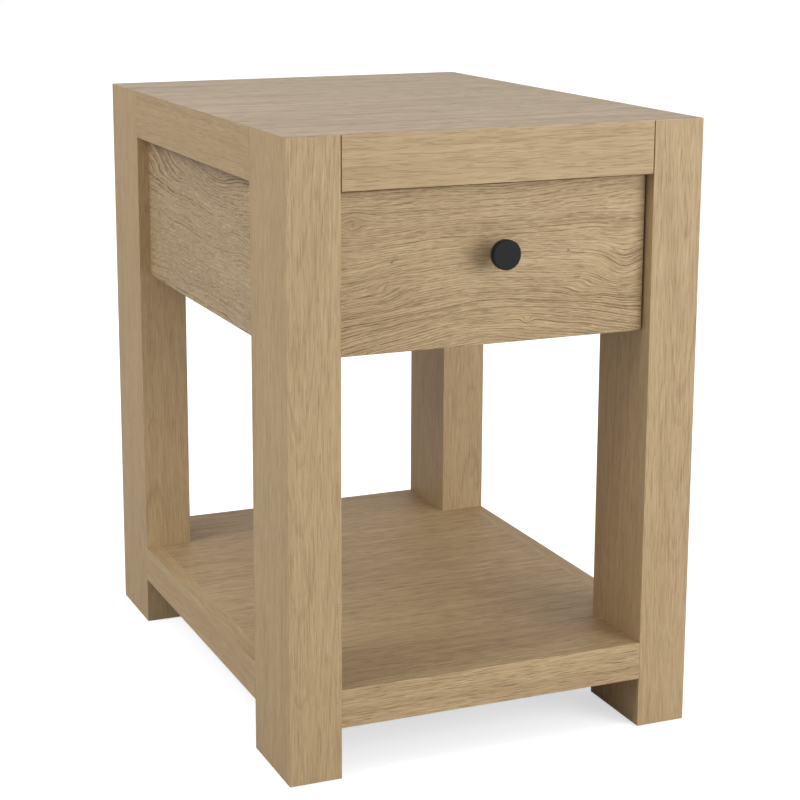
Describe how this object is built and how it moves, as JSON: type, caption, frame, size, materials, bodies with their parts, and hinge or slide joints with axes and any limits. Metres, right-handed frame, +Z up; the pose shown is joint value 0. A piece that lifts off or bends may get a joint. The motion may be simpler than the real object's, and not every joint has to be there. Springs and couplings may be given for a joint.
{
  "type": "nightstand",
  "caption": "Rectangular oak nightstand with a drawer on ball-bearing slides, a round black knob and an open lower shelf between thick square-cut legs.",
  "frame": {"origin": "on the floor, under the centre of the overall box with the drawer closed, knob included", "axes": "+X to the user's right when facing the drawer, +Y from the drawer towards the back, +Z up"},
  "size_m": [0.424, 0.58, 0.61],
  "materials": {
    "oak": "matt lacquered oak",
    "oak_top": "matt lacquered oak veneer",
    "rustic_oak": "matt lacquered rustic oak with small knots",
    "core_board": "raw particle board",
    "plain_wood": "planed beech",
    "drawer_wood": "sanded and lacquered hardwood",
    "plywood": "birch plywood",
    "black_metal": "satin black",
    "screw_steel": "zinc plated",
    "zinc_steel": "zinc plated sheet",
    "cage_steel": "thin plated sheet",
    "ball_steel": "polished",
    "bumper_rubber": "moulded",
    "glide_plastic": "moulded"
  },
  "bodies": {
    "case": {"leg_front_left": "oak", "leg_front_right": "oak", "leg_back_left": "oak", "leg_back_right": "oak", "top_rail_front": "oak", "top_rail_back": "oak", "top_rail_left": "oak", "top_rail_right": "oak", "shelf_board": "oak", "shelf_lipping_left": "oak", "shelf_lipping_right": "oak", "top_veneer": "oak_top", "side_panel_left": "rustic_oak", "side_panel_right": "rustic_oak", "back_panel": "rustic_oak", "top_core": "core_board", "top_cleat_front": "plain_wood", "top_cleat_back": "plain_wood", "top_cleat_left": "plain_wood", "top_cleat_right": "plain_wood", "slide_batten_left": "plain_wood", "slide_batten_right": "plain_wood", "rail_dowels": "plain_wood", "shelf_dowels": "plain_wood", "panel_dowels": "plain_wood", "cleat_screws": "screw_steel", "batten_screws": "screw_steel", "cabinet_slide_screws": "screw_steel", "slide_outer_left": "zinc_steel", "slide_bumper_left": "bumper_rubber", "slide_outer_right": "zinc_steel", "slide_bumper_right": "bumper_rubber", "floor_glides": "glide_plastic"},
    "drawer": {"drawer_front": "rustic_oak", "drawer_box_front": "drawer_wood", "drawer_back": "drawer_wood", "drawer_side_left": "drawer_wood", "drawer_side_right": "drawer_wood", "drawer_bottom": "plywood", "knob": "black_metal", "knob_screw": "screw_steel", "drawer_front_screws": "screw_steel", "drawer_slide_screws": "screw_steel", "slide_inner_left": "zinc_steel", "slide_inner_right": "zinc_steel"},
    "middle_left": {"slide_middle_left": "zinc_steel"},
    "outer_cage_set_left": {"outer_cage_left": "cage_steel", "outer_balls_left": "ball_steel"},
    "inner_cage_set_left": {"inner_cage_left": "cage_steel", "inner_balls_left": "ball_steel"},
    "middle_right": {"slide_middle_right": "zinc_steel"},
    "outer_cage_set_right": {"outer_cage_right": "cage_steel", "outer_balls_right": "ball_steel"},
    "inner_cage_set_right": {"inner_cage_right": "cage_steel", "inner_balls_right": "ball_steel"}
  },
  "joints": [
    {"name": "drawer_slide", "type": "slide", "parent": "case", "child": "drawer", "axis": [0, -1, 0], "range_m": [0, 0.45]},
    {"name": "middle_left_slide", "type": "slide", "parent": "case", "child": "middle_left", "axis": [0, -1, 0], "range_m": [0, 0.225]},
    {"name": "outer_cage_set_left_slide", "type": "slide", "parent": "case", "child": "outer_cage_set_left", "axis": [0, -1, 0], "range_m": [0, 0.1125]},
    {"name": "inner_cage_set_left_slide", "type": "slide", "parent": "case", "child": "inner_cage_set_left", "axis": [0, -1, 0], "range_m": [0, 0.3375]},
    {"name": "middle_right_slide", "type": "slide", "parent": "case", "child": "middle_right", "axis": [0, -1, 0], "range_m": [0, 0.225]},
    {"name": "outer_cage_set_right_slide", "type": "slide", "parent": "case", "child": "outer_cage_set_right", "axis": [0, -1, 0], "range_m": [0, 0.1125]},
    {"name": "inner_cage_set_right_slide", "type": "slide", "parent": "case", "child": "inner_cage_set_right", "axis": [0, -1, 0], "range_m": [0, 0.3375]}
  ],
  "couplings": [
    {"joint": "middle_left_slide", "follows": "drawer_slide", "ratio": 0.5},
    {"joint": "outer_cage_set_left_slide", "follows": "drawer_slide", "ratio": 0.25},
    {"joint": "inner_cage_set_left_slide", "follows": "drawer_slide", "ratio": 0.75},
    {"joint": "middle_right_slide", "follows": "drawer_slide", "ratio": 0.5},
    {"joint": "outer_cage_set_right_slide", "follows": "drawer_slide", "ratio": 0.25},
    {"joint": "inner_cage_set_right_slide", "follows": "drawer_slide", "ratio": 0.75}
  ]
}
